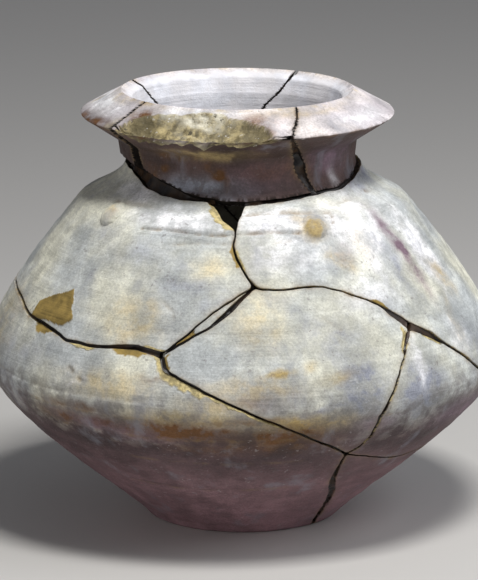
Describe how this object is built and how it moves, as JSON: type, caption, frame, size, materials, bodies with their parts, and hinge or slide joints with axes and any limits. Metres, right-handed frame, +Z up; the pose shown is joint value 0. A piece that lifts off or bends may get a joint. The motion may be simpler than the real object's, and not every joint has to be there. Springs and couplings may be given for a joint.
{
  "type": "mended ceramic jar",
  "caption": "Wide-bellied ceramic jar with a short neck and a heavy everted rim, rebuilt from its sherds with open joins and one lost chip. It stands on its flat base.",
  "frame": {"origin": "middle of the base's underside, on the body's axis", "axes": "+Z up along the body's axis, -Y towards the front, +X to the right of the front"},
  "size_m": [0.26, 0.26, 0.217],
  "materials": {
    "body_ceramic": "matte",
    "rim_ceramic": "matte",
    "adhesive": "satin"
  },
  "bodies": {
    "root": {"belly_back": "body_ceramic", "belly_centre": "body_ceramic", "belly_right": "body_ceramic", "belly_sliver": "body_ceramic", "glue_back_belly": "adhesive", "glue_back_lower": "adhesive", "glue_back_shoulder_left": "adhesive", "glue_back_shoulder_right": "adhesive", "glue_back_upright": "adhesive", "glue_front_belly": "adhesive", "glue_left_back_belly": "adhesive", "glue_left_back_foot": "adhesive", "glue_left_back_shoulder": "adhesive", "glue_left_shoulder": "adhesive", "glue_neck": "adhesive", "glue_right_back_belly": "adhesive", "glue_right_back_foot": "adhesive", "glue_right_back_shoulder": "adhesive", "glue_right_belly": "adhesive", "glue_right_foot": "adhesive", "glue_right_heel": "adhesive", "glue_right_lower": "adhesive", "glue_right_shoulder": "adhesive", "glue_right_side": "adhesive", "glue_rim_back_left": "adhesive", "glue_rim_back_right": "adhesive", "glue_rim_front_left": "adhesive", "glue_rim_front_right": "adhesive", "glue_sliver_lower": "adhesive", "glue_sliver_upper": "adhesive", "glue_upper_front": "adhesive", "lower_back": "body_ceramic", "lower_left": "body_ceramic", "lower_right": "body_ceramic", "rim_back": "rim_ceramic", "rim_front": "rim_ceramic", "rim_left": "rim_ceramic", "rim_right": "rim_ceramic", "shoulder_back_left": "body_ceramic", "shoulder_back_right": "body_ceramic", "shoulder_left": "body_ceramic", "shoulder_right": "body_ceramic"}
  },
  "joints": []
}
